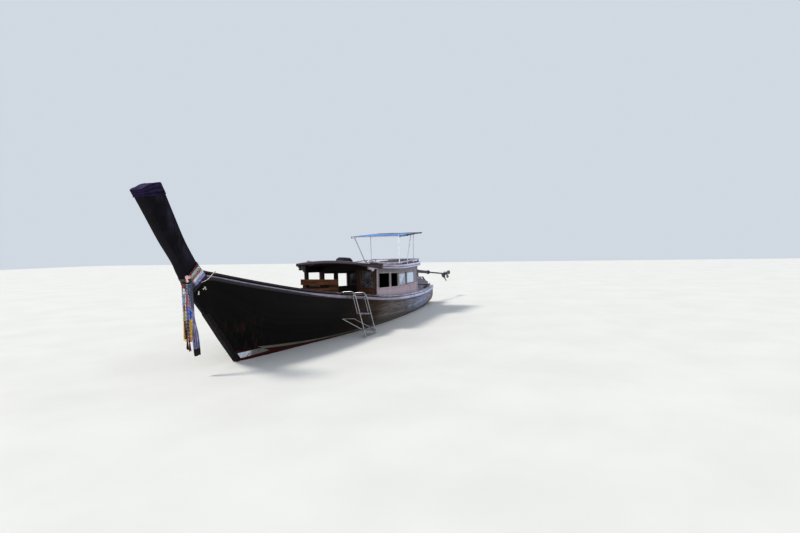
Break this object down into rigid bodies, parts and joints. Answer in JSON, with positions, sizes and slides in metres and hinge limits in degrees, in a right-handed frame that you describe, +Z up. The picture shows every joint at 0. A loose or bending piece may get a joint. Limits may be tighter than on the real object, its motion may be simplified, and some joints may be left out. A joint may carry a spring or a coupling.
{
  "type": "wooden longtail boat with cabin",
  "caption": "Wooden longtail boat: tall raked prow, narrow open hull, cabin with roof deck and sun canopy, boarding ladder, and a raised tail with its propeller.",
  "frame": {"origin": "on the waterline in the hull's centre plane, 4.95 m abaft the point where the stem enters the water", "axes": "+X to the bow, +Y to port, +Z up"},
  "size_m": [16.2593, 2.4967, 3.75],
  "materials": {
    "hull_paint": "weathered dark paint on planks",
    "keel_wood": "red bottom paint",
    "prow_paint": "near-black paint, satin",
    "cap_cloth": "dark violet cloth",
    "wrap_cloth": "striped cloth",
    "garland_cloth": "bright garlands",
    "ribbon_cloth": "pale violet cloth",
    "gunwale_paint": "dark paint, worn",
    "rail_paint": "weathered pale violet paint",
    "deck_wood": "weathered boards",
    "floor_wood": "worn boards",
    "frame_wood": "rough sawn",
    "transom_wood": "weathered boards",
    "cabin_paint": "weathered pinkish white paint",
    "wing_paint": "weathered pale violet paint",
    "window_glass": "clear, dusty",
    "bulkhead_wood": "varnished, worn",
    "roof_wood": "weathered paint",
    "fascia_paint": "weathered paint",
    "knee_paint": "weathered pale paint",
    "railing_paint": "weathered pale paint",
    "tube_paint": "white paint",
    "canopy_fabric": "bright blue tarpaulin",
    "bench_wood": "varnished, worn",
    "bundle_cloth": "folded dark cloth",
    "ladder_steel": "polished tube",
    "stand_steel": "dark paint, rust at the edges",
    "housing_paint": "worn grey paint",
    "engine_iron": "oily cast iron",
    "shaft_steel": "dark worn paint",
    "propeller_metal": "worn cast metal"
  },
  "bodies": {
    "hull": {"hull_bottom": "hull_paint", "hull_side_port_fore": "hull_paint", "hull_side_port_aft": "hull_paint", "hull_side_starboard_fore": "hull_paint", "hull_side_starboard_aft": "hull_paint", "keel_and_stem": "keel_wood", "prow_post": "prow_paint", "prow_cap_cloth": "cap_cloth", "neck_wraps": "wrap_cloth", "garlands": "garland_cloth", "long_ribbon": "ribbon_cloth", "gunwale_port": "gunwale_paint", "gunwale_starboard": "gunwale_paint", "rub_rail_port": "rail_paint", "rub_rail_starboard": "rail_paint", "foredeck": "deck_wood", "stern_deck": "deck_wood", "cockpit_floor": "floor_wood", "cabin_floor": "floor_wood", "frames": "frame_wood", "transom": "transom_wood", "fore_peak_bulkhead": "deck_wood", "cabin_wall_port_corner": "cabin_paint", "cabin_wall_port_fore": "cabin_paint", "cabin_wall_port_middle": "cabin_paint", "cabin_wall_port_aft": "cabin_paint", "stern_wing_port": "wing_paint", "cabin_wall_starboard_corner": "cabin_paint", "cabin_wall_starboard_fore": "cabin_paint", "cabin_wall_starboard_middle": "cabin_paint", "cabin_wall_starboard_aft": "cabin_paint", "stern_wing_starboard": "wing_paint", "window_pane_port_3": "window_glass", "window_pane_port_4": "window_glass", "window_pane_starboard_3": "window_glass", "window_pane_starboard_4": "window_glass", "front_bulkhead": "bulkhead_wood", "bulkhead_pane_port": "window_glass", "aft_bulkhead": "bulkhead_wood", "roof_boards": "roof_wood", "roof_fascia": "fascia_paint", "fore_post": "bulkhead_wood", "roof_beams": "bulkhead_wood", "knee_port": "knee_paint", "knee_starboard": "knee_paint", "roof_railing": "railing_paint", "canopy_frame": "tube_paint", "canopy_sheet": "canopy_fabric", "bench": "bench_wood", "roof_bundle": "bundle_cloth", "boarding_ladder": "ladder_steel", "engine_stand": "stand_steel"},
    "swivel": {"swivel_yoke": "stand_steel"},
    "tail": {"tail_housing": "housing_paint", "engine": "engine_iron", "shaft_tube": "shaft_steel", "tiller": "shaft_steel"},
    "propeller": {"propeller": "propeller_metal"}
  },
  "joints": [
    {"name": "tail_steering", "type": "hinge", "parent": "hull", "child": "swivel", "pos_m": [-5.75, 0, 1.225], "axis": [0, 0, 1], "range_deg": [-38, 52]},
    {"name": "tail_tilt", "type": "hinge", "parent": "swivel", "child": "tail", "pos_m": [-5.75, 0, 1.225], "axis": [0.1219, 0.9925, 0], "range_deg": [-26, 7.5]},
    {"name": "propeller_spin", "type": "hinge", "parent": "tail", "child": "propeller", "pos_m": [-8.91454, 0.38856, 0.95167], "axis": [0.9889, -0.1214, 0.0854], "continuous": true}
  ]
}
